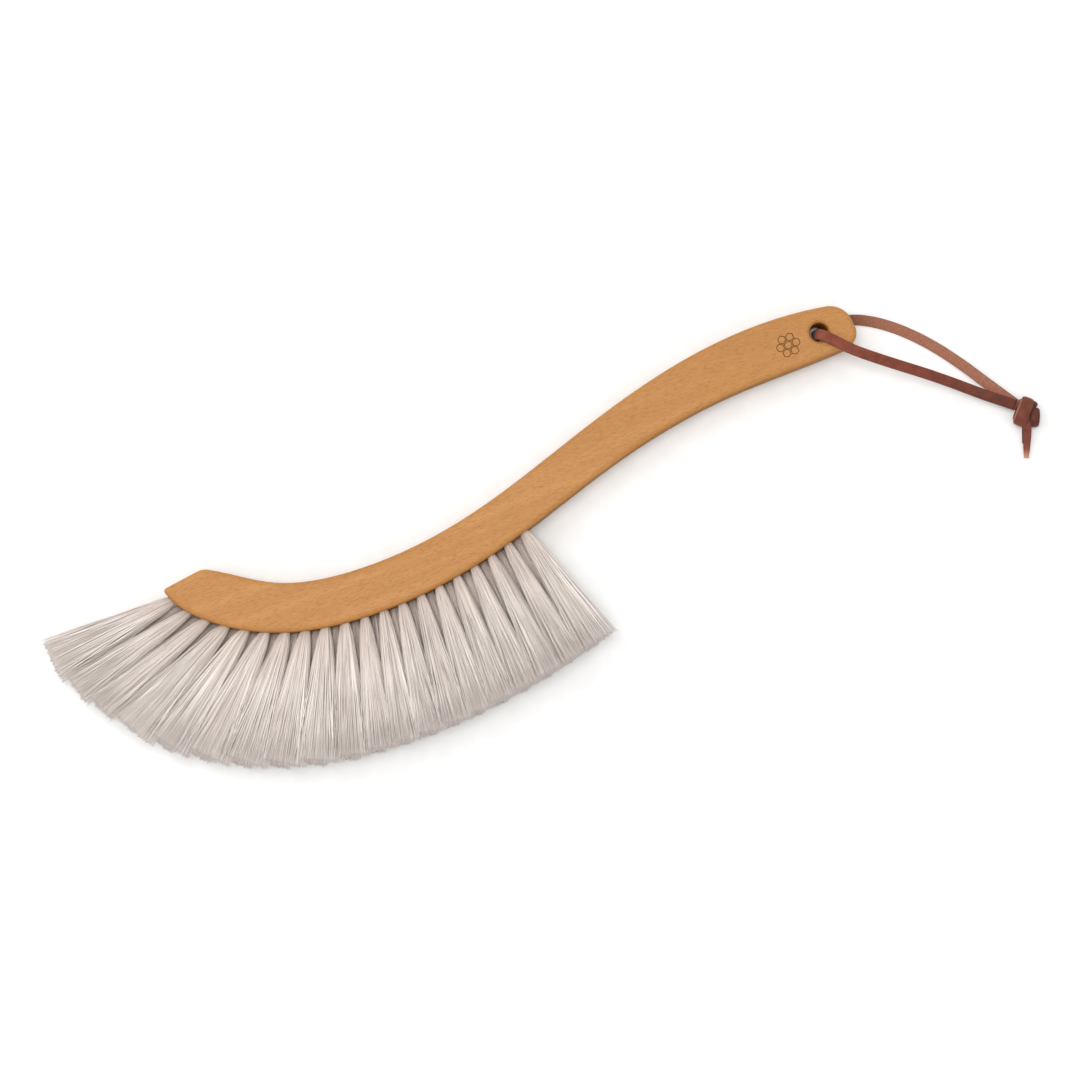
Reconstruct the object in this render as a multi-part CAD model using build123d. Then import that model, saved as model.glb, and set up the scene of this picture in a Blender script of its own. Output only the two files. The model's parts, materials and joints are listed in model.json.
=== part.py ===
from build123d import *
import os
from math import radians, tan

# A bee brush that lies on its side on a table, in millimetres. It is drawn with the nose tip of its wooden
# back at X0 Y0. +X runs to the end of the handle, the hair points to -Y, and +Z is up, square to the flat
# sides of the back. At the end everything moves so that the origin is at the bottom centre of back and hair.

# Wooden back
back_length = 358.8  # nose tip, before it is rounded, to handle end
bend_depth = 47.8  # how far the hair edge dips below the nose tip
back_thickness = 15.0
nose_width = 24.4
head_width = 23.2
neck_width = 22.2
grip_width = 25.9
end_width = 20.2
nose_cut_length = 21.5  # the slanted end cut, before its upper corner is rounded
nose_cut_slope = 7.0  # degrees above +X
nose_tip_radius = 1.6
shoulder_radius = 8.0
end_far_radius = 11.7  # the handle's end corner away from the hair
end_near_radius = 7.7
end_far_share = 0.58  # of the end's width, the most that each corner takes
end_near_share = 0.38
edge_radius = 2.3  # rounding all round both flat sides

# Points of the hair edge from nose tip to handle end, as shares of the back's length and its bend's depth
edge_shares = (
    (0.0, 0.0),
    (0.0134, 0.226),
    (0.038, 0.433),
    (0.109, 0.78),
    (0.246, 1.0),
    (0.421, 0.885),
    (0.622, 0.46),
    (0.812, 0.226),
    (0.909, 0.216),
    (1.0, 0.199),
)
# The wood's width at the last eight of those points
edge_widths = (
    nose_width,
    nose_width,
    head_width,
    neck_width,
    neck_width,
    grip_width,
    grip_width,
    end_width,
)

# Hanging hole, through the flat sides
hanging_hole_diameter = 9.0
hanging_hole_from_end = 17.9
hole_rim_radius = 2.0

# Hair tufts, each folded over a wire anchor at the bottom of its hole
tufts_in_upper_row = 20
tuft_pitch = 9.7
first_tuft_distance = 6.6  # along the edge, from the nose tip
row_offset = 3.0  # each row's holes from the middle of the thickness
tuft_diameter = 3.8
hair_fit = 0.05  # radial, tuft to hole
tuft_hole_depth = 11.0
hair_length = 66.0  # outside the wood
flare_start = 2.0  # a tuft keeps its root size this far out of the wood
tuft_gap = 0.2  # between the soft outlines of neighbouring tufts
upper_tuft_height = 11.6  # at the tips
anchor_width = 5.0
anchor_height = 2.0
anchor_thickness = 0.5
anchor_from_bottom = 0.6

# How far the tufts lean from square to the edge towards the nose, in degrees, at shares of the hair's run
lean_stations = ((0.0, 20.0), (0.1, 30.0), (0.5, 10.0), (0.8, 9.0), (1.0, 6.5))

# Leather lace, a flat thong through the hanging hole that is tied in one overhand knot
lace_width = 5.3
lace_thickness = 1.8
lace_slip = 0.25  # clearance between the lace and the wood that it turns round
lace_lift = 0.05  # the lace's underside above the table
rim_bend_radius = 3.4  # where the lace turns over the rim of the hole
bend_share = 0.45  # of the shorter run beside it, that a gentle bend of the lace takes
knot_length = 13.0
knot_width = 14.0
knot_height = 8.5
knot_rounding = 3.6
knot_turn = -54.0  # degrees, the way the strands enter the knot
tail_turn = -114.0
tail_width = 4.6
tail_thickness = 1.7
long_tail = 21.0  # from the knot's centre
short_tail = 15.0

# Heights above the table
back_bottom = lace_lift + lace_thickness + lace_slip
back_top = back_bottom + back_thickness
middle = back_bottom + back_thickness / 2
lace_over = back_top + lace_slip + lace_thickness / 2
lace_under = lace_lift + lace_thickness / 2

# Lace routes, from the middle of the hanging hole: X, Y and height above the table
upper_strand_route = (
    (1.5, -1.9, middle),
    (1.5, -1.9, lace_over),
    (12.3, -15.7, lace_over),
    (27.4, -29.6, 14.8),
    (41.4, -40.9, 10.8),
    (54.6, -49.9, 7.9),
    (66.0, -57.6, 6.2),
    (77.6, -66.9, 5.4),
)
lower_strand_route = (
    (2.2, 0.6, middle),
    (2.2, 0.6, lace_under),
    (11.4, 3.4, lace_under),
    (22.0, 1.7, lace_under),
    (36.2, -7.4, lace_under),
    (50.3, -21.8, lace_under),
    (62.1, -38.6, lace_under),
    (70.4, -53.2, 1.5),
    (79.2, -67.6, 2.9),
)
knot_centre = (81.5, -71.6, knot_height / 2 + lace_lift)


def edge_points():
    return [Vector(x * back_length, -y * bend_depth) for x, y in edge_shares]


def hair_edge():
    return Spline(edge_points())


def outward(edge, distance):
    """The direction square to the edge, away from the wood, at a distance along it."""
    return edge.tangent_at(distance, position_mode=PositionMode.LENGTH).rotate(Axis.Z, -90)


def blank_face():
    """The wood's outline before its corners are rounded, on the XY plane."""
    edge = hair_edge()
    shoulder = Vector(nose_cut_length, 0).rotate(Axis.Z, nose_cut_slope)
    far_side = [shoulder]
    for point, width in zip(edge_points()[-len(edge_widths):], edge_widths):
        along = edge.tangent_at(edge.param_at_point(point))
        far_side.append(point + along.rotate(Axis.Z, 90) * width)
    far_edge = Spline(far_side)
    nose_cut = Line(shoulder, edge @ 0)
    end_cut = Line(edge @ 1, far_edge @ 1)
    return make_face([edge, end_cut, far_edge, nose_cut])


def rounded_outline():
    face = blank_face()
    corners = face.vertices().sort_by(Axis.X)
    face = fillet(corners[0], nose_tip_radius)
    face = fillet(face.vertices().sort_by_distance(corners[1].center())[0], shoulder_radius)
    near, far = corners[2:].sort_by(Axis.Y)
    far_radius = min(end_far_radius, end_far_share * end_width)
    near_radius = min(end_near_radius, end_near_share * end_width)
    face = fillet(face.vertices().sort_by_distance(far.center())[0], far_radius)
    return fillet(face.vertices().sort_by_distance(near.center())[0], near_radius)


def hanging_hole_centre(outline):
    """The middle of the wood's width, a set distance from the handle's end."""
    x = back_length - hanging_hole_from_end
    across = Line((x, -2 * bend_depth), (x, 2 * bend_depth)) & outline
    return across.edges()[0].center()


def lean_at(share):
    for (low, start), (high, stop) in zip(lean_stations, lean_stations[1:]):
        if share <= high:
            break
    return start + (stop - start) * (share - low) / (high - low)


def row_of_tufts(count, first_distance, height):
    """Each tuft's place: a plane at its hole's mouth, with X along the edge and Z out along the hair."""
    edge = hair_edge()
    run = tuft_pitch * (tufts_in_upper_row - 1)
    places = []
    for i in range(count):
        distance = first_distance + i * tuft_pitch
        mouth = edge.position_at(distance, position_mode=PositionMode.LENGTH)
        lean = lean_at((distance - first_tuft_distance) / run)
        hair = outward(edge, distance).rotate(Axis.Z, -lean)
        places.append(Plane((mouth.X, mouth.Y, height), x_dir=hair.rotate(Axis.Z, 90), z_dir=hair))
    return places


def tip_widths(places):
    """The width that each tuft can have at its tip without touching the next in its row."""
    gaps = []
    for a, b in zip(places, places[1:]):
        apart = (b * Pos(0, 0, hair_length)).position - (a * Pos(0, 0, hair_length)).position
        gaps.append(min(abs(apart.dot(a.x_dir)), abs(apart.dot(b.x_dir))) - tuft_gap)
    return [min(pair) for pair in zip(gaps[:1] + gaps, gaps + gaps[-1:])]


def tuft(place, tip_width, tip_bottom, tip_height):
    """One tuft's soft outline: round in its hole, then flaring to an oval tip that may sit higher or lower."""
    root = place * Pos(0, 0, (flare_start - tuft_hole_depth) / 2) * Cylinder(
        tuft_diameter / 2, flare_start + tuft_hole_depth
    )
    shift = tip_bottom + tip_height / 2 - place.origin.Z
    side = 1 if (place.y_dir.Z > 0) else -1
    neck = place * Pos(0, 0, flare_start) * Circle(tuft_diameter / 2)
    tip = place * Pos(0, side * shift, hair_length) * Ellipse(tip_width / 2, tip_height / 2)
    return root + loft([neck, tip], ruled=True) - anchor(place)


def tuft_hole(place):
    length = tuft_hole_depth + 2 * flare_start
    return place * Pos(0, 0, length / 2 - tuft_hole_depth) * Cylinder(tuft_diameter / 2 + hair_fit, length)


def anchor(place):
    """The flat wire that pins a folded tuft. Its ends bite into the wood on both sides of the hole."""
    height = anchor_from_bottom + anchor_height / 2 - tuft_hole_depth
    return place * Pos(0, 0, height) * Box(anchor_width, anchor_thickness, anchor_height)


def wooden_back(outline, hole_centre, places):
    blank = Pos(0, 0, back_bottom) * extrude(outline, back_thickness)
    flat_sides = blank.faces().filter_by(Axis.Z)
    wood = fillet(flat_sides.edges(), edge_radius)
    bore = Cylinder(hanging_hole_diameter / 2, 2 * back_thickness)
    wood -= Pos(hole_centre.X, hole_centre.Y, middle) * bore
    rims = wood.edges().filter_by(GeomType.CIRCLE).filter_by(
        lambda rim: abs(rim.radius - hanging_hole_diameter / 2) < 0.01 and rim.is_closed
    )
    wood = fillet(rims, hole_rim_radius)
    for place in places:
        wood -= tuft_hole(place)
        wood -= anchor(place)
    return wood


def strand(route, hole_centre, name):
    """A flat strand along straight runs and tangent arcs. In the hole it stands square to its way out."""
    points = [Vector(x, y, z) for x, y, z in route]
    way_out = points[2] - points[1]
    radii = []
    for i in range(1, len(points) - 1):
        before, after = points[i] - points[i - 1], points[i + 1] - points[i]
        turn = radians(before.get_angle(after))
        largest = bend_share * min(before.length, after.length) / tan(turn / 2)
        radii.append(rim_bend_radius if i == 1 else largest)
    path = FilletPolyline(*points, radius=radii)
    start = Plane(points[0], x_dir=way_out.rotate(Axis.Z, 90), z_dir=path % 0)
    solid = sweep(start * Rectangle(lace_width, lace_thickness), path=path)
    print(name, "length", round(path.length, 1), "tightest bend", round(min(radii), 1))
    return Pos(hole_centre.X, hole_centre.Y) * solid


def knot(hole_centre):
    lump = Box(knot_length, knot_width, knot_height)
    lump = fillet(lump.edges(), knot_rounding)
    x, y, z = knot_centre
    return Pos(hole_centre.X + x, hole_centre.Y + y, z) * Rot(0, 0, knot_turn) * lump


def tails(hole_centre, lump):
    """Both cut ends, one on the other, from inside the knot out to their tips."""
    x, y, _ = knot_centre
    place = Pos(hole_centre.X + x, hole_centre.Y + y) * Rot(0, 0, tail_turn)
    lower = place * Pos(short_tail / 2, 0, lace_lift + tail_thickness / 2) * Box(
        short_tail, tail_width, tail_thickness
    )
    resting = lace_lift + tail_thickness + lace_slip
    upper = place * Pos(long_tail / 2, 0, resting + tail_thickness / 2) * Box(
        long_tail, tail_width, tail_thickness
    )
    return [lower - lump, upper - lump]


def build():
    outline = rounded_outline()
    hole_centre = hanging_hole_centre(outline)
    upper_row = row_of_tufts(tufts_in_upper_row, first_tuft_distance, middle + row_offset)
    between = first_tuft_distance + tuft_pitch / 2
    lower_row = row_of_tufts(tufts_in_upper_row - 1, between, middle - row_offset)
    pieces = {"wooden_back": wooden_back(outline, hole_centre, upper_row + lower_row)}
    for i, (place, width) in enumerate(zip(upper_row, tip_widths(upper_row)), 1):
        pieces[f"upper_row_tuft_{i:02d}"] = tuft(place, width, middle + tuft_gap / 2, upper_tuft_height)
    for i, (place, width) in enumerate(zip(lower_row, tip_widths(lower_row)), 1):
        pieces[f"lower_row_tuft_{i:02d}"] = tuft(place, width, 0, middle - tuft_gap / 2)
    pieces["tuft_anchors"] = Compound([anchor(place).solid() for place in upper_row + lower_row])
    lump = knot(hole_centre)
    upper = strand(upper_strand_route, hole_centre, "upper strand")
    lower = strand(lower_strand_route, hole_centre, "lower strand")
    held = Compound([piece.solid() for name, piece in pieces.items() if name != "tuft_anchors"])
    box = held.bounding_box()
    origin = Vector(box.center().X, box.center().Y, box.min.Z)
    pieces["lace_upper_strand"] = upper - lump
    pieces["lace_lower_strand"] = lower - lump
    pieces["lace_knot"] = lump
    pieces["lace_tails"] = Compound([tail.solid() for tail in tails(hole_centre, lump)])
    print("hanging hole at", hole_centre - origin, "box", box.min - origin, box.max - origin)
    return {name: Pos(-origin) * piece for name, piece in pieces.items()}


os.makedirs("parts", exist_ok=True)
for name, piece in build().items():
    export_step(piece, f"parts/{name}.step")
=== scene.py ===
import json
import math
import random

import bmesh
import bpy
from mathutils import Matrix, Vector, noise


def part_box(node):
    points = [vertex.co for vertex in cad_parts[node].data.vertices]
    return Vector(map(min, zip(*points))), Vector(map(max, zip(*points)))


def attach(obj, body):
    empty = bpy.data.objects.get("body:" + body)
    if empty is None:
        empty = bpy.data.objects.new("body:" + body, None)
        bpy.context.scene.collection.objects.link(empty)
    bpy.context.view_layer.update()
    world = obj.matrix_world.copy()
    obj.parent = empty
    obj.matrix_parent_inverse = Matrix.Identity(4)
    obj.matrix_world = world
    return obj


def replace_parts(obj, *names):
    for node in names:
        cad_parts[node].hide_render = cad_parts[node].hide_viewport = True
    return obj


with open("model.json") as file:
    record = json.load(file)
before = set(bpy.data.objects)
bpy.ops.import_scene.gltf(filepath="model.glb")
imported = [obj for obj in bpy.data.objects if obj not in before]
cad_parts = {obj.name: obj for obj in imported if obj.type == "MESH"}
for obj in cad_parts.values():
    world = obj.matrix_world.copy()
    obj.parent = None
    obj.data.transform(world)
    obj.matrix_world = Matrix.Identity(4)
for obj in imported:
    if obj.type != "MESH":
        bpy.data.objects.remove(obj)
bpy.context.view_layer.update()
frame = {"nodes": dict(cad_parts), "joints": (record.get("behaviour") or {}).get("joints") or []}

mm = 0.001
tableGap = 0.03 * mm  # nothing lies lower than this
scene = bpy.context.scene
scene.view_settings.view_transform = "Standard"


def linearColour(hexCode):  # an sRGB hex colour, as Blender's sockets want it
    channels = [int(hexCode[i : i + 2], 16) / 255 for i in (0, 2, 4)]
    return [c / 12.92 if c < 0.04045 else ((c + 0.055) / 1.055) ** 2.4 for c in channels] + [1.0]


def addNode(tree, kind, inputs=(), stops=(), **settings):  # one node with its links and ramp stops
    node = tree.nodes.new("ShaderNode" + kind)
    for key, value in settings.items():
        setattr(node, key, value)
    for key, value in dict(inputs).items():
        if isinstance(value, bpy.types.NodeSocket):
            tree.links.new(value, node.inputs[key])
        else:
            node.inputs[key].default_value = value
    while stops and len(node.color_ramp.elements) < len(stops):
        node.color_ramp.elements.new(0.5)
    for element, (position, colour) in zip(node.color_ramp.elements if stops else (), stops):
        element.position = position
        element.color = linearColour(colour)
    return node


def newMaterial(name, **sockets):  # a material, its tree and its shader with constant sockets set
    material = bpy.data.materials.new(name)
    material.use_nodes = True
    shader = material.node_tree.nodes["Principled BSDF"]
    for key, value in sockets.items():
        shader.inputs[key.replace("_", " ")].default_value = value
    return material, material.node_tree, shader


def addBump(tree, shader, height, distance, strength):
    bump = addNode(tree, "Bump", {"Height": height, "Distance": distance, "Strength": strength})
    tree.links.new(bump.outputs["Normal"], shader.inputs["Normal"])


def stretched(tree, source, size):  # coordinates in which one unit is that many millimetres along each axis
    scale = [1 / (length * mm) for length in size]
    return addNode(tree, "Mapping", {"Vector": source, "Scale": scale}).outputs["Vector"]


def newPiece(name, bm, material, body):  # a bmesh becomes a piece that rides on a body, on the table
    for v in bm.verts:
        v.co.z = max(v.co.z, tableGap)
    mesh = bpy.data.meshes.new(name)
    bm.to_mesh(mesh)
    bm.free()
    mesh.shade_smooth()
    mesh.materials.append(material)
    piece = bpy.data.objects.new(name, mesh)
    scene.collection.objects.link(piece)
    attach(piece, body)
    return piece


# Camera, almost straight above, with the brush's length running up to the right
cameraSet = {
    "azimuth": -21.3,
    "elevation": 84.0,
    "distance": 1.2,
    "lens": 82.0,
    "lookAt": (31.36 * mm, 7.13 * mm, 0.0),
}


def makeCamera(spec):
    turn, rise = math.radians(spec["azimuth"]), math.radians(spec["elevation"])
    back = Vector((math.sin(turn) * math.cos(rise), -math.cos(turn) * math.cos(rise), math.sin(rise)))
    camera = bpy.data.objects.new("camera", bpy.data.cameras.new("camera"))
    camera.data.lens = spec["lens"]
    camera.location = Vector(spec["lookAt"]) + back * spec["distance"]
    camera.rotation_mode = "QUATERNION"
    camera.rotation_quaternion = (-back).to_track_quat("-Z", "Y")
    scene.collection.objects.link(camera)
    scene.camera = camera


makeCamera(cameraSet)
print("camera placed")

# Leather lace: one flat thong through the hanging hole, tied in an overhand knot.
# The routes are millimetres from the hole's middle, with the height above the table.
laceSet = {
    "width": 5.3,
    "holeWidth": 5.5,  # the thong is pressed a little wider where it folds over the rim
    "thickness": 1.8,
    "sectionCorners": 20,
    "squareness": 4.0,  # 2 is an ellipse, more is squarer
    "startSide": 150.0,  # where the grain side faces inside the hole, in degrees from +X
    "settle": 9.0,  # the lace has turned to its own way out this far along
    "upperRoute": (
        (-1.3, -0.3, 9.6),
        (-1.3, -0.5, 14.6),
        (-1.1, -1.0, 17.9),
        (1.5, -3.2, 18.75),
        (5.3, -7.3, 18.3),
        (12.0, -14.9, 18.25),
        (28.2, -27.5, 14.8),
        (42.6, -37.9, 10.8),
        (55.3, -48.2, 7.9),
        (66.0, -57.6, 6.2),
        (77.6, -66.9, 5.4),
    ),
    "lowerRoute": (
        (-1.3, -0.3, 9.6),
        (-1.1, -0.1, 4.6),
        (-0.6, 0.3, 1.5),
        (2.6, 1.4, 0.95),
        (11.4, 3.4, 0.95),
        (22.0, 1.7, 0.95),
        (36.2, -7.4, 0.95),
        (50.3, -21.8, 0.95),
        (62.1, -38.6, 1.1),
        (70.4, -53.2, 2.2),
        (79.2, -67.6, 3.4),
    ),
    "upperRoll": (0.0, 0.0, 6.0, 16.0),  # degrees, spread evenly from the hole to the knot
    "lowerRoll": (0.0, 0.0, 0.0, 0.0, 18.0),
    "upperTone": (1.3, 1.38, 1.3, 1.08, 0.74),  # the dye is uneven, and the strand darker towards the knot
    # the lower strand is darker where it runs under the wood: painted shade; further on the dye is uneven
    "lowerDyeAndShade": (0.45, 0.5, 0.5, 0.58, 0.98, 1.05, 1.08, 1.1),
    "rawTone": (1.4, 2.2),  # a tone above the first is a raw cut end, fully so at the second
    "curveSteps": 24,
    "upperLength": 0.112,  # metres
    "lowerLength": 0.122,
}
holeMiddle = Vector(frame["joints"][0]["pos_m"])


def routeLine(name, route):  # the points along a smooth spline whose control points are the route's
    curve = bpy.data.curves.new(name, "CURVE")
    curve.dimensions = "3D"
    curve.resolution_u = laceSet["curveSteps"]
    spline = curve.splines.new("NURBS")
    spline.points.add(len(route) - 1)
    for point, (x, y, z) in zip(spline.points, route):
        point.co = (x, y, z, 1.0)
    spline.order_u = 3
    spline.use_endpoint_u = True
    holder = bpy.data.objects.new(name, curve)
    mesh = bpy.data.meshes.new_from_object(holder)
    line = [v.co.copy() for v in mesh.vertices]
    bpy.data.meshes.remove(mesh)
    bpy.data.curves.remove(curve)
    return line


def laceLine(name, route):  # a lace route in the row frame
    return routeLine(name, [(holeMiddle.x + x * mm, holeMiddle.y + y * mm, z * mm) for x, y, z in route])


def distancesAlong(line):
    distances = [0.0]
    for a, b in zip(line, line[1:]):
        distances.append(distances[-1] + (b - a).length)
    return distances


def carriedNormals(line, normal):  # the first normal carried along the line without any twist
    normals = []
    for i in range(len(line)):
        way = (line[min(i + 1, len(line) - 1)] - line[max(i - 1, 0)]).normalized()
        normal = (normal - way * normal.dot(way)).normalized()
        normals.append((way, normal))
    return normals


def spreadValue(values, share):  # a value between evenly spread stations
    place = min(max(share, 0.0), 1.0) * (len(values) - 1)
    low = min(int(place), len(values) - 2)
    return values[low] + (values[low + 1] - values[low]) * (place - low)


def strapMesh(line, frames, widths, thickness, tones, squareness, closed=False):
    # a flat strap, extruded ring by ring; each point keeps its place in the section and the tone there
    bm = bmesh.new()
    sectionLayer = bm.verts.layers.float_vector.new("strapSection")
    ring = bmesh.ops.create_circle(bm, segments=laceSet["sectionCorners"], radius=1)["verts"]
    power = 2 / squareness
    for v in ring:
        across, deep = (math.copysign(abs(part) ** power, part) for part in (v.co.x, v.co.y))
        v[sectionLayer] = (across, deep, 0)
    firstEdges = ringEdges = bm.edges[:]
    for i, (point, (way, normal), width) in enumerate(zip(line, frames, widths)):
        if i:
            grown = bmesh.ops.extrude_edge_only(bm, edges=ringEdges)["geom"]
            ring = [part for part in grown if isinstance(part, bmesh.types.BMVert)]
            fresh = set(ring)
            ringEdges = [
                part for part in grown if isinstance(part, bmesh.types.BMEdge) and set(part.verts) <= fresh
            ]
        side = normal.cross(way)
        for v in ring:
            across, deep, _ = v[sectionLayer]
            v.co = point + side * (across * width / 2) + normal * (deep * thickness / 2)
            v[sectionLayer] = (across, deep, spreadValue(tones, i / (len(line) - 1)))
    if closed:
        bmesh.ops.bridge_loops(bm, edges=firstEdges + ringEdges)
    else:
        for loop in (firstEdges, ringEdges):
            bmesh.ops.contextual_create(bm, geom=loop)
    bmesh.ops.recalc_face_normals(bm, faces=bm.faces)
    return bm


# Vegetable-tanned cowhide: a smooth waxed grain side, a paler suede-like flesh side, raw cut edges
def makeLaceLeather():
    material, tree, shader = newMaterial("vegetableTannedCowhide", Specular_IOR_Level=0.22, Sheen_Weight=0.08)
    coords = addNode(tree, "TexCoord").outputs["Object"]
    section = addNode(tree, "Attribute", attribute_name="strapSection").outputs["Vector"]
    parts = addNode(tree, "SeparateXYZ", {"Vector": section})
    pores = addNode(
        tree, "TexVoronoi", {"Vector": stretched(tree, coords, (0.55, 0.55, 0.55)), "Scale": 1.0}
    )
    mottle = addNode(
        tree, "TexNoise", {"Vector": stretched(tree, coords, (4, 4, 4)), "Scale": 1.0, "Detail": 3.0}
    )
    fuzz = addNode(
        tree,
        "TexNoise",
        {"Vector": stretched(tree, coords, (0.45, 0.45, 0.45)), "Scale": 1.0, "Detail": 4.0},
    )
    grain = addNode(tree, "ValToRGB", {"Fac": mottle.outputs["Fac"]}, ((0.3, "5F2D1F"), (0.7, "753B2A")))
    flesh = addNode(tree, "ValToRGB", {"Fac": fuzz.outputs["Fac"]}, ((0.3, "7C4A38"), (0.68, "A7745D")))
    faceMask = addNode(
        tree,
        "MapRange",
        {"Value": parts.outputs["Y"], "From Min": -0.55, "From Max": 0.1},
        interpolation_type="SMOOTHSTEP",
    )
    colour = addNode(
        tree,
        "MixRGB",
        {
            "Fac": faceMask.outputs["Result"],
            "Color1": flesh.outputs["Color"],
            "Color2": grain.outputs["Color"],
        },
    )
    edge = addNode(tree, "Math", {0: parts.outputs["X"]}, operation="ABSOLUTE")
    edgeMask = addNode(
        tree,
        "MapRange",
        {"Value": edge.outputs["Value"], "From Min": 0.86, "From Max": 1.0, "To Max": 0.55},
    )
    edged = addNode(
        tree,
        "MixRGB",
        {
            "Fac": edgeMask.outputs["Result"],
            "Color1": colour.outputs["Color"],
            "Color2": linearColour("4A241A"),
        },
    )
    rawFrom, rawFull = laceSet["rawTone"]
    # the tone scales the colour: the dye's unevenness, and painted shade where the lace lies under the wood
    # and in the knot's hidden parts
    tone = addNode(tree, "Math", {0: parts.outputs["Z"], 1: rawFrom}, operation="MINIMUM")
    toned = addNode(
        tree, "VectorMath", {0: edged.outputs["Color"], "Scale": tone.outputs["Value"]}, operation="SCALE"
    )
    rawMask = addNode(
        tree,
        "MapRange",
        {"Value": parts.outputs["Z"], "From Min": rawFrom, "From Max": rawFull, "To Max": 0.85},
    )
    raw = addNode(
        tree,
        "MixRGB",
        {
            "Fac": rawMask.outputs["Result"],
            "Color1": toned.outputs["Vector"],
            "Color2": linearColour("BE8E79"),
        },
    )
    tree.links.new(raw.outputs["Color"], shader.inputs["Base Color"])
    rough = addNode(
        tree, "MapRange", {"Value": faceMask.outputs["Result"], "To Min": 0.95, "To Max": 0.52}
    )
    tree.links.new(rough.outputs["Result"], shader.inputs["Roughness"])
    relief = addNode(
        tree,
        "MixRGB",
        {
            "Fac": faceMask.outputs["Result"],
            "Color1": fuzz.outputs["Fac"],
            "Color2": pores.outputs["Distance"],
        },
    )
    addBump(tree, shader, relief.outputs["Color"], 0.1 * mm, 0.5)
    return material


laceLeather = makeLaceLeather()


def makeStrand(name, route, roll, tones):
    line = laceLine(name, route)
    distances = distancesAlong(line)
    towards = Vector((route[5][0] - route[2][0], route[5][1] - route[2][1], 0)).normalized()
    frames = []
    startSide = math.radians(laceSet["startSide"])
    begun = Vector((math.cos(startSide), math.sin(startSide), 0))
    for place, (way, normal) in zip(distances, carriedNormals(line, -towards)):
        share = min(place / (laceSet["settle"] * mm), 1.0)
        still = (1 - share) ** 2 * (1 + 2 * share)
        offset = math.atan2(way.dot((-towards).cross(begun)), (-towards).dot(begun)) * still
        twist = math.radians(spreadValue(roll, place / distances[-1]))
        frames.append((way, Matrix.Rotation(offset + twist, 3, way) @ normal))
    widths = []
    for place in distances:
        pressed = max(1 - place / (2 * laceSet["settle"] * mm), 0)
        widths.append((laceSet["width"] + (laceSet["holeWidth"] - laceSet["width"]) * pressed) * mm)
    bm = strapMesh(line, frames, widths, laceSet["thickness"] * mm, tones, laceSet["squareness"])
    return newPiece(name, bm, laceLeather, "hanging_lace"), line, distances[-1]


upperStrand, upperLine, upperMeasure = makeStrand(
    "upper_lace", laceSet["upperRoute"], laceSet["upperRoll"], laceSet["upperTone"]
)
lowerStrand, lowerLine, lowerMeasure = makeStrand(
    "lower_lace", laceSet["lowerRoute"], laceSet["lowerRoll"], laceSet["lowerDyeAndShade"]
)
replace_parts(upperStrand, "lace_upper_strand")
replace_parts(lowerStrand, "lace_lower_strand")
print("lace strands", round(upperMeasure, 4), round(lowerMeasure, 4))

# The knot: doubled turns of the thong round a crushed middle, in millimetres from the knot's middle,
# with X right and Y up as the camera sees them, and Z up
knotSet = {
    "middle": (81.5, -71.6, 4.3),  # from the hole's middle, along the frame's own axes
    "turnSides": 40,
    "layerThickness": 1.75,
    "squareness": 2.3,  # leather pulled tight is crowned
    "nested": 0.92,  # of a layer's thickness, between the two layers of a turn
    # the core's low tone is painted shade in the knot's crevices
    "coreTone": 0.5,
    "turns": (
        {
            "centre": (-1.5, 0.0, 0.0),
            "along": (0.36, 0.93, 0.0),
            "reach": (5.8, 2.7),
            "width": 5.9,
            "slip": 0.9,
            "tone": 1.05,
        },
        # the two smaller turns, tucked behind the main band, have low tones: painted shade
        {
            "centre": (3.8, -2.8, -0.8),
            "along": (0.05, 1.0, 0.1),
            "reach": (3.2, 2.3),
            "width": 4.8,
            "slip": 0.4,
            "tone": 0.6,
        },
        {
            "centre": (2.7, 1.7, -0.9),
            "along": (0.55, 0.83, 0.0),
            "reach": (2.3, 1.4),
            "width": 3.3,
            "slip": 0.3,
            "tone": 0.55,
        },
    ),
    "core": (4.0, 4.9, 2.7),
}
viewTurn = math.radians(cameraSet["azimuth"])
viewRight = Vector((math.cos(viewTurn), math.sin(viewTurn), 0))
viewUp = Vector((-viewRight.y, viewRight.x, 0))
knotMiddle = Vector((holeMiddle.x, holeMiddle.y, 0)) + Vector(knotSet["middle"]) * mm


def knotWay(x, y, z):
    return viewRight * x + viewUp * y + Vector((0, 0, z))


def joined(parts):  # several bmeshes in one
    whole = bmesh.new()
    for bm in parts:
        scrap = bpy.data.meshes.new("part")
        bm.to_mesh(scrap)
        bm.free()
        whole.from_mesh(scrap)
        bpy.data.meshes.remove(scrap)
    return whole


def knotTurn(spec):  # one closed turn, two layers of thong that don't quite lie on each other
    sides = knotSet["turnSides"]
    thick = knotSet["layerThickness"] * mm
    along = knotWay(*spec["along"]).normalized()
    rise = Vector((0, 0, 1))
    across = (rise - along * along.z).normalized()
    axis = along.cross(across)
    layers = []
    for layer in (-0.5, 0.5):
        centre = knotMiddle + knotWay(*spec["centre"]) * mm + axis * layer * spec["slip"] * mm
        reach = [r * mm + layer * thick * knotSet["nested"] for r in spec["reach"]]
        line = []
        frames = []
        for i in range(sides):
            angle = math.tau * i / sides
            line.append(centre + along * math.cos(angle) * reach[0] + across * math.sin(angle) * reach[1])
            way = (across * math.cos(angle) * reach[1] - along * math.sin(angle) * reach[0]).normalized()
            frames.append((way, way.cross(axis) * (1 if layer > 0 else -1)))
        widths = [spec["width"] * mm] * sides
        layers.append(
            strapMesh(line, frames, widths, thick, [spec["tone"]] * 2, knotSet["squareness"], closed=True)
        )
    return joined(layers)


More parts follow.
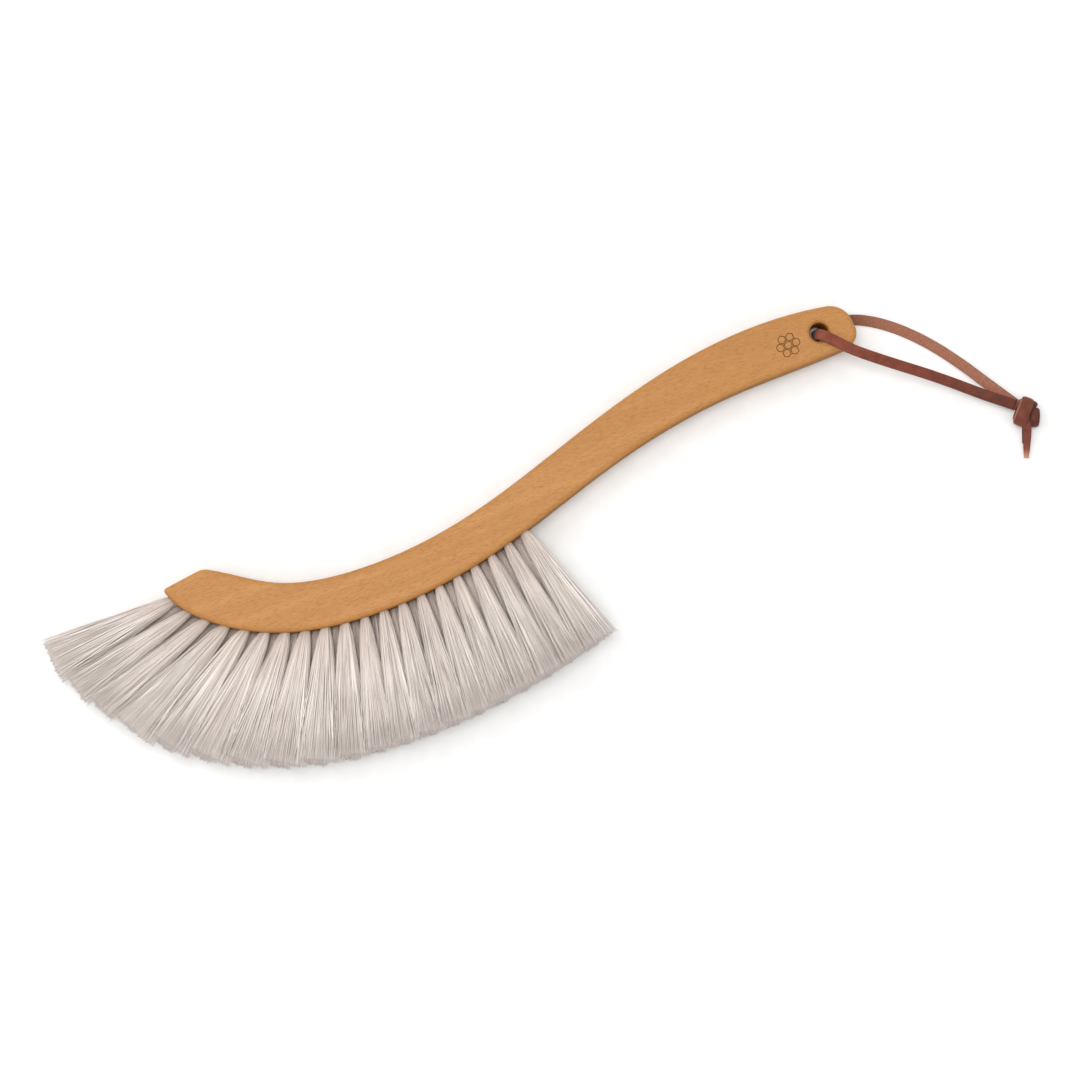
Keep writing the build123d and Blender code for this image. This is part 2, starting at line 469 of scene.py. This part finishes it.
def knotCore():  # the crushed middle of the knot, seen only in its crevices
    bm = bmesh.new()
    sectionLayer = bm.verts.layers.float_vector.new("strapSection")
    bmesh.ops.create_icosphere(bm, subdivisions=3, radius=1)
    for v in bm.verts:
        v[sectionLayer] = (0, 1, knotSet["coreTone"])
        v.co = knotMiddle + knotWay(*(part * size for part, size in zip(v.co, knotSet["core"]))) * mm
    return bm


knotPiece = newPiece(
    "tied_knot",
    joined([knotTurn(spec) for spec in knotSet["turns"]] + [knotCore()]),
    laceLeather,
    "hanging_lace",
)
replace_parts(knotPiece, "lace_knot")

tailSet = {
    "thickness": 1.6,
    "frontRoute": (
        (0.6, -1.5, 1.2),
        (0.3, -6.0, 0.8),
        (0.6, -12.0, -1.0),
        (0.5, -17.0, -2.2),
        (0.3, -22.6, -2.6),
    ),
    "frontWidths": (4.6, 4.4, 4.0, 3.4, 2.3),
    # tones under 1 are painted shade where the ends leave the knot and along the back end, which lies under
    # the front one; 2.2 is the raw cut end
    "frontTones": (0.8, 0.95, 1.0, 1.0, 1.0, 1.15, 2.2),
    "backRoute": ((0.6, -1.5, -1.2), (0.6, -6.0, -2.3), (0.5, -10.5, -3.15), (0.2, -15.4, -3.2)),
    "backWidths": (4.4, 4.3, 4.0, 3.4),
    "backTones": (0.7, 0.8, 0.85, 0.8),
    "frontRoll": 14,  # degrees
    "backRoll": -6,
}


def cutEnd(name, route, widths, tones, roll):
    line = routeLine(name, [knotMiddle + knotWay(*point) * mm for point in route])
    distances = distancesAlong(line)
    frames = []
    for way, normal in carriedNormals(line, Vector((0, 0, 1))):
        frames.append((way, Matrix.Rotation(math.radians(roll), 3, way) @ normal))
    spread = [spreadValue(widths, place / distances[-1]) * mm for place in distances]
    return strapMesh(line, frames, spread, tailSet["thickness"] * mm, tones, laceSet["squareness"])


tailPiece = newPiece(
    "cut_ends",
    joined([
        cutEnd(
            end + "_end",
            tailSet[end + "Route"],
            tailSet[end + "Widths"],
            tailSet[end + "Tones"],
            tailSet[end + "Roll"],
        )
        for end in ("front", "back")
    ]),
    laceLeather,
    "hanging_lace",
)
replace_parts(tailPiece, "lace_tails")
print("knot tied")

# Steamed beech, sanded and oiled: warm and satin, with short dark ray flecks along the grain
beechSet = {"fleck": (2.8, 0.5, 0.5), "ring": (120.0, 6.0, 8.0), "fibre": (9.0, 0.3, 0.3)}  # mm


def makeBeech():
    material, tree, shader = newMaterial("oiledSteamedBeech")
    coords = addNode(tree, "TexCoord").outputs["Object"]
    ring = addNode(
        tree, "TexNoise", {"Vector": stretched(tree, coords, beechSet["ring"]), "Scale": 1.0, "Detail": 3.0}
    )
    fleck = addNode(
        tree,
        "TexNoise",
        {"Vector": stretched(tree, coords, beechSet["fleck"]), "Scale": 1.0, "Detail": 2.0},
    )
    fibre = addNode(
        tree,
        "TexNoise",
        {"Vector": stretched(tree, coords, beechSet["fibre"]), "Scale": 1.0, "Detail": 2.0},
    )
    base = addNode(
        tree, "ValToRGB", {"Fac": ring.outputs["Fac"]}, ((0.3, "B37B3C"), (0.5, "B87F41"), (0.7, "BD8547"))
    )
    streak = addNode(tree, "ValToRGB", {"Fac": fibre.outputs["Fac"]}, ((0.35, "E2DEDA"), (0.62, "FFFFFF")))
    toned = addNode(
        tree,
        "MixRGB",
        {"Fac": 0.6, "Color1": base.outputs["Color"], "Color2": streak.outputs["Color"]},
        blend_type="MULTIPLY",
    )
    fleckMask = addNode(
        tree, "ValToRGB", {"Fac": fleck.outputs["Fac"]}, ((0.51, "000000"), (0.65, "FFFFFF"))
    )
    strength = addNode(tree, "Math", {0: fleckMask.outputs["Color"], 1: 0.5}, operation="MULTIPLY")
    flecked = addNode(
        tree,
        "MixRGB",
        {
            "Fac": strength.outputs["Value"],
            "Color1": toned.outputs["Color"],
            "Color2": linearColour("925C2A"),
        },
    )
    # the sides are darker: painted shade on the flanks, which face away from the overhead light
    facing = addNode(tree, "NewGeometry").outputs["Normal"]
    rise = addNode(tree, "SeparateXYZ", {"Vector": facing}).outputs["Z"]
    sideShadeFactor = addNode(tree, "MapRange", {"Value": rise, "From Max": 0.4, "To Min": 0.72})
    sideShaded = addNode(
        tree,
        "VectorMath",
        {0: flecked.outputs["Color"], "Scale": sideShadeFactor.outputs["Result"]},
        operation="SCALE",
    )
    tree.links.new(sideShaded.outputs["Vector"], shader.inputs["Base Color"])
    polish = addNode(
        tree, "MapRange", {"Value": rise, "From Min": 0.2, "From Max": 0.7, "To Min": 0.03, "To Max": 0.4}
    )
    tree.links.new(polish.outputs["Result"], shader.inputs["Specular IOR Level"])
    rough = addNode(tree, "MapRange", {"Value": fibre.outputs["Fac"], "To Min": 0.62, "To Max": 0.44})
    tree.links.new(rough.outputs["Result"], shader.inputs["Roughness"])
    addBump(tree, shader, fibre.outputs["Fac"], 0.06 * mm, 0.35)
    return material


def dress(node, material):  # a CAD node keeps its shape and takes this finish
    mesh = frame["nodes"][node].data
    mesh.materials.clear()
    mesh.materials.append(material)


dress("wooden_back", makeBeech())


# Tinned mild steel wire: bright and drawn
def makeAnchorWire():
    material, tree, shader = newMaterial("tinnedSteelWire", Metallic=1.0)
    coords = addNode(tree, "TexCoord").outputs["Object"]
    drawn = addNode(
        tree, "TexNoise", {"Vector": stretched(tree, coords, (0.3, 0.3, 2)), "Scale": 1.0, "Detail": 2.0}
    )
    colour = addNode(tree, "ValToRGB", {"Fac": drawn.outputs["Fac"]}, ((0.3, "8C8D8E"), (0.7, "B9BABB")))
    tree.links.new(colour.outputs["Color"], shader.inputs["Base Color"])
    rough = addNode(tree, "MapRange", {"Value": drawn.outputs["Fac"], "To Min": 0.28, "To Max": 0.5})
    tree.links.new(rough.outputs["Result"], shader.inputs["Roughness"])
    return material


dress("tuft_anchors", makeAnchorWire())
print("wood and anchors dressed")

# Natural light horsehair: each hair has its own tone; the root end is darker, painted shade where the hairs
# crowd under the wood
hairSet = {
    "hairsPerTuft": 700,
    "hairThickness": 0.22,
    "tipThickness": 0.17,
    "stations": (0.12, 0.3, 0.52, 0.76),
    "flare": 0.62,  # under 1 the tuft opens quickly at its root
    "overlap": 1.2,  # at its tip a tuft reaches this far into its neighbours
    "lengthSpread": 0.008,  # of a hair's length
    "wander": 0.16,  # of a tuft's half width
    "crowding": 0.4,  # under 0.5 the hairs crowd towards the outside of the tuft
    "lock": 0.4,  # mm, how far locks of hair stray together
    "lockLength": 0.6,  # mm, how much longer or shorter a lock is
    "lockAcross": 2.2,  # locks across half a tuft
    "lockAlong": 1.3,  # and along its hair
    "toneSpread": (0.6, 0.2),  # middle and spread of the hairs' tones
    "streaks": (46, 2.2, 1),  # patches round a tuft and along its hair
    "endTufts": {  # mm wider on the sides towards the nose and the handle, where no tuft holds them
        "upper_row_tuft_01": (-1.8, 0.0),
        "lower_row_tuft_01": (-1.0, 0.0),
        "upper_row_tuft_20": (0.0, 4.2),
        "lower_row_tuft_19": (0.0, 2.2),
    },
    "cornering": 0.7,  # towards its tip a pressed tuft fills the corners between its neighbours
    "longer": (0.5, 2.6, 1.2, 0.6, 0.5, 0.5, 0.5),  # mm, from the nose to the handle
    "coreReach": 0.8,
    "coreEnd": 0.965,
    "coreSides": 28,
    "coreTone": 0.5,
    # the core sits a little below the hairs' middle tone: painted shade on the core seen between the hairs
    "holeDepth": 11.0,
    "startsInHole": 2.0,
    "tipPart": 0.9,  # of a tuft's length, past which a point belongs to its tip
    "bottomDepth": 0.3,  # mm, how near a tuft's bottom a point counts as part of it
    "tipDepth": 0.5,  # mm, and how near its tip
    "rootRadius": 1.85,
    "lowest": 0.3,  # mm above the table
    "lowestShares": (0.6, 0.4),  # of that, what is fixed and what goes with the lock
}


def makeHair():
    material, tree, shader = newMaterial("bleachedHorsehair", Roughness=0.65, Specular_IOR_Level=0.2)
    hair = addNode(tree, "Attribute", attribute_name="hairData").outputs["Vector"]
    parts = addNode(tree, "SeparateXYZ", {"Vector": hair})
    strand = addNode(tree, "CombineXYZ", {"X": parts.outputs["Z"], "Y": parts.outputs["Y"]})
    drawn = addNode(tree, "Mapping", {"Vector": strand.outputs["Vector"], "Scale": hairSet["streaks"]})
    streak = addNode(tree, "TexNoise", {"Vector": drawn.outputs["Vector"], "Scale": 1.0})
    mixed = addNode(
        tree,
        "MapRange",
        {"Value": streak.outputs["Fac"], "From Min": 0.3, "From Max": 0.7, "To Min": -0.15, "To Max": 0.15},
    )
    together = addNode(tree, "Math", {0: parts.outputs["X"], 1: mixed.outputs["Result"]}, operation="ADD")
    tone = addNode(
        tree,
        "ValToRGB",
        {"Fac": together.outputs["Value"]},
        ((0.0, "E0D0C5"), (0.2, "EADED6"), (0.6, "F0E7E0"), (1.0, "F4EDE8")),
    )
    # painted shade: the hairs darken towards their roots, under the wood and between the tufts
    rootShadeMask = addNode(
        tree, "MapRange", {"Value": parts.outputs["Y"], "From Max": 0.45, "To Min": 0.42, "To Max": 0.0}
    )
    rootShaded = addNode(
        tree,
        "MixRGB",
        {
            "Fac": rootShadeMask.outputs["Result"],
            "Color1": tone.outputs["Color"],
            "Color2": linearColour("B0937E"),
        },
        blend_type="MULTIPLY",
    )
    # painted shade: a thin darker line along the tip ends
    tipShadeMask = addNode(
        tree, "MapRange", {"Value": parts.outputs["Y"], "From Min": 0.982, "From Max": 1.0, "To Max": 0.3}
    )
    tipShaded = addNode(
        tree,
        "MixRGB",
        {
            "Fac": tipShadeMask.outputs["Result"],
            "Color1": rootShaded.outputs["Color"],
            "Color2": linearColour("A0918A"),
        },
    )
    tree.links.new(tipShaded.outputs["Color"], shader.inputs["Base Color"])
    return material


horsehair = makeHair()


def boxCentre(points):
    return Vector([(min(p[i] for p in points) + max(p[i] for p in points)) / 2 for i in range(3)])


woodMiddle = boxCentre([v.co for v in frame["nodes"]["wooden_back"].data.vertices])


def tuftPlace(node):
    # mouth of its hole, the way out, middle of its tip, the way along its row, half width and height
    points = [v.co for v in frame["nodes"][node].data.vertices]
    inner = min(points, key=lambda p: (p - woodMiddle).length)
    reach = max((p - inner).length for p in points)
    tip = boxCentre([p for p in points if (p - inner).length > hairSet["tipPart"] * reach])
    reach = max((p - tip).length for p in points)
    bottom = boxCentre([p for p in points if (p - tip).length > reach - hairSet["bottomDepth"] * mm])
    way = Vector((tip.x - bottom.x, tip.y - bottom.y, 0)).normalized()
    side = Vector((-way.y, way.x, 0))
    tipRing = [p for p in points if (p - tip).dot(way) > -hairSet["tipDepth"] * mm]
    halfWidth = max((p - tip).dot(side) for p in tipRing)
    halfHeight = max(p.z - tip.z for p in tipRing)
    return bottom + way * hairSet["holeDepth"] * mm, way, tip, side, halfWidth, halfHeight


def makeTuft(node, seed, longer):
    mouth, way, tip, side, halfWidth, halfHeight = tuftPlace(node)
    up = Vector((0, 0, 1))
    rng = random.Random(seed)
    tip = tip + way * longer * mm
    noseSide, handleSide = hairSet["endTufts"].get(node, (0.0, 0.0))
    start = mouth - way * hairSet["startsInHole"] * mm
    rootRadius = hairSet["rootRadius"] * mm
    bm = bmesh.new()
    dataLayer = bm.verts.layers.float_vector.new("hairData")
    # first a straight bundle, one unit long and one in radius
    rootThick = hairSet["hairThickness"] * mm / 2 / rootRadius
    tipThick = hairSet["tipThickness"] * mm / (halfWidth + halfHeight)
    for _ in range(hairSet["hairsPerTuft"]):
        angle, distance = rng.uniform(0, math.tau), rng.random() ** hairSet["crowding"]
        root = Vector((math.cos(angle) * distance, math.sin(angle) * distance, 0))
        end = root * hairSet["overlap"] + Vector([rng.gauss(0, hairSet["wander"]) for _ in range(2)] + [0])
        end.z = 1 + rng.gauss(0, hairSet["lengthSpread"])
        lean = Matrix.Translation((root + end) / 2) @ Matrix(
            ((1, 0, end.x - root.x, 0), (0, 1, end.y - root.y, 0), (0, 0, end.z, 0), (0, 0, 0, 1))
        )
        tone = min(max(rng.gauss(*hairSet["toneSpread"]), 0), 1)
        made = bmesh.ops.create_cone(
            bm,
            cap_ends=True,
            cap_tris=True,
            segments=3,
            radius1=rootThick,
            radius2=tipThick,
            depth=1,
            matrix=lean,
        )
        for v in made["verts"]:
            v[dataLayer] = (tone, 0, rng.random())
    core = bmesh.ops.create_cone(
        bm,
        cap_ends=True,
        segments=hairSet["coreSides"],
        radius1=hairSet["coreReach"],
        radius2=hairSet["coreReach"],
        depth=hairSet["coreEnd"],
        matrix=Matrix.Translation((0, 0, hairSet["coreEnd"] / 2)),
    )
    for v in core["verts"]:
        v[dataLayer] = (hairSet["coreTone"], 0, math.atan2(v.co.y, v.co.x) / math.tau)
    for station in hairSet["stations"]:
        bmesh.ops.bisect_plane(
            bm, geom=bm.verts[:] + bm.edges[:] + bm.faces[:], plane_co=(0, 0, station), plane_no=(0, 0, 1)
        )
    # then it opens towards its tip
    apart, lockAlong = hairSet["lockAcross"], hairSet["lockAlong"]
    fixed, swaying = hairSet["lowestShares"]
    for v in bm.verts:
        share = max(v.co.z, 0)
        opened = share ** hairSet["flare"]
        lock = noise.noise_vector(Vector((v.co.x * apart, v.co.y * apart, share * lockAlong + seed)))
        wide = halfWidth + (handleSide if v.co.x > 0 else noseSide) * mm
        around = math.hypot(v.co.x, v.co.y)
        steep = max(abs(v.co.x), abs(v.co.y)) / around if around else 1
        cornered = steep ** (-hairSet["cornering"] * opened)
        x = v.co.x * cornered * (rootRadius + (wide - rootRadius) * opened)
        x += lock.x * hairSet["lock"] * mm * share
        z = v.co.y * cornered * (rootRadius + (halfHeight - rootRadius) * opened)
        z += lock.y * hairSet["lock"] * mm * share
        outwards = way * lock.z * hairSet["lockLength"] * mm * share
        spot = start + (tip - start) * share + side * x + up * z + outwards
        spot.z = max(spot.z, hairSet["lowest"] * mm * (fixed + swaying * lock.x))
        v[dataLayer] = (v[dataLayer].x, share, v[dataLayer].z)
        v.co = spot
    bmesh.ops.recalc_face_normals(bm, faces=bm.faces)
    return newPiece("hair_" + node, bm, horsehair, "brush")


seed = 0
for row in ("lower", "upper"):
    rowNodes = sorted(name for name in frame["nodes"] if name.startswith(row + "_row_tuft_"))
    for i, node in enumerate(rowNodes):
        seed += 1
        longer = spreadValue(hairSet["longer"], i / (len(rowNodes) - 1))
        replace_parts(makeTuft(node, seed, longer), node)
print("tufts set", seed)

# A small honeycomb burned into the handle near the hanging hole
markSet = {  # mm, from the hole's middle
    "middle": (-16.5, -0.7),
    "cell": 2.35,
    "shrink": 0.93,
    "line": 0.36,
    "deep": 0.06,
    "proud": 0.02,
}


def makeMark():
    material, tree, shader = newMaterial("charredBeech", Roughness=0.85, Specular_IOR_Level=0.2)
    coords = addNode(tree, "TexCoord").outputs["Object"]
    char = addNode(
        tree,
        "TexNoise",
        {"Vector": stretched(tree, coords, (0.9, 0.35, 0.35)), "Scale": 1.0, "Detail": 3.0},
    )
    colour = addNode(tree, "ValToRGB", {"Fac": char.outputs["Fac"]}, ((0.35, "3A2112"), (0.7, "6B4526")))
    tree.links.new(colour.outputs["Color"], shader.inputs["Base Color"])
    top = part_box("wooden_back")[1].z
    cell = markSet["cell"] * mm
    bm = bmesh.new()
    middle = holeMiddle + Vector(markSet["middle"]).to_3d() * mm
    spots = [Vector((0, 0, 0))]
    for i in range(6):
        spots.append(Matrix.Rotation(math.tau * i / 6, 3, "Z") @ Vector((cell * math.sqrt(3), 0, 0)))
    for spot in spots:
        place = Matrix.Translation((middle.x + spot.x, middle.y + spot.y, top + markSet["proud"] * mm))
        made = bmesh.ops.create_circle(
            bm, cap_ends=True, segments=6, radius=cell * markSet["shrink"], matrix=place
        )
        face = made["verts"][0].link_faces[0]
        bmesh.ops.inset_region(
            bm, faces=[face], thickness=markSet["line"] * mm, use_boundary=True, use_even_offset=True
        )
        bmesh.ops.delete(bm, geom=[face], context="FACES")
    walls = bmesh.ops.extrude_face_region(bm, geom=bm.faces[:])["geom"]
    lowered = [part for part in walls if isinstance(part, bmesh.types.BMVert)]
    bmesh.ops.translate(bm, verts=lowered, vec=(0, 0, -markSet["deep"] * mm))
    bmesh.ops.recalc_face_normals(bm, faces=bm.faces)
    newPiece("burned_comb", bm, material, "brush")


makeMark()
print("mark burned")

# Studio: a plain pale table and soft light
studioSet = {
    "tableSize": 4,
    "cardGrain": 900.0,
    "worldLight": 0.85,
    "lights": (  # name, place, size and power
        ("overhead", (-0.08, 0.1, 1.7), 0.8, 10.5),
        ("window", (-0.8, 0.9, 1.2), 1.0, 5.5),
    ),
}


def makeStudio():
    material, tree, shader = newMaterial("paleCard", Roughness=0.9)
    grain = addNode(tree, "TexNoise", {"Scale": studioSet["cardGrain"], "Detail": 2.0})
    colour = addNode(tree, "ValToRGB", {"Fac": grain.outputs["Fac"]}, ((0.3, "F1F1F0"), (0.7, "F6F6F5")))
    tree.links.new(colour.outputs["Color"], shader.inputs["Base Color"])
    bm = bmesh.new()
    bmesh.ops.create_grid(bm, x_segments=2, y_segments=2, size=studioSet["tableSize"])
    mesh = bpy.data.meshes.new("table")
    bm.to_mesh(mesh)
    bm.free()
    mesh.materials.append(material)
    table = bpy.data.objects.new("table", mesh)
    scene.collection.objects.link(table)
    world = bpy.data.worlds.new("studio")
    world.use_nodes = True
    world.node_tree.nodes["Background"].inputs["Color"].default_value = (1, 1, 1, 1)
    world.node_tree.nodes["Background"].inputs["Strength"].default_value = studioSet["worldLight"]
    scene.world = world
    for name, place, size, power in studioSet["lights"]:
        light = bpy.data.objects.new(name, bpy.data.lights.new(name, "AREA"))
        light.data.size = size
        light.data.energy = power
        light.location = place
        light.rotation_mode = "QUATERNION"
        light.rotation_quaternion = Vector(place).to_track_quat("Z", "Y")
        scene.collection.objects.link(light)


makeStudio()
print("studio lit")
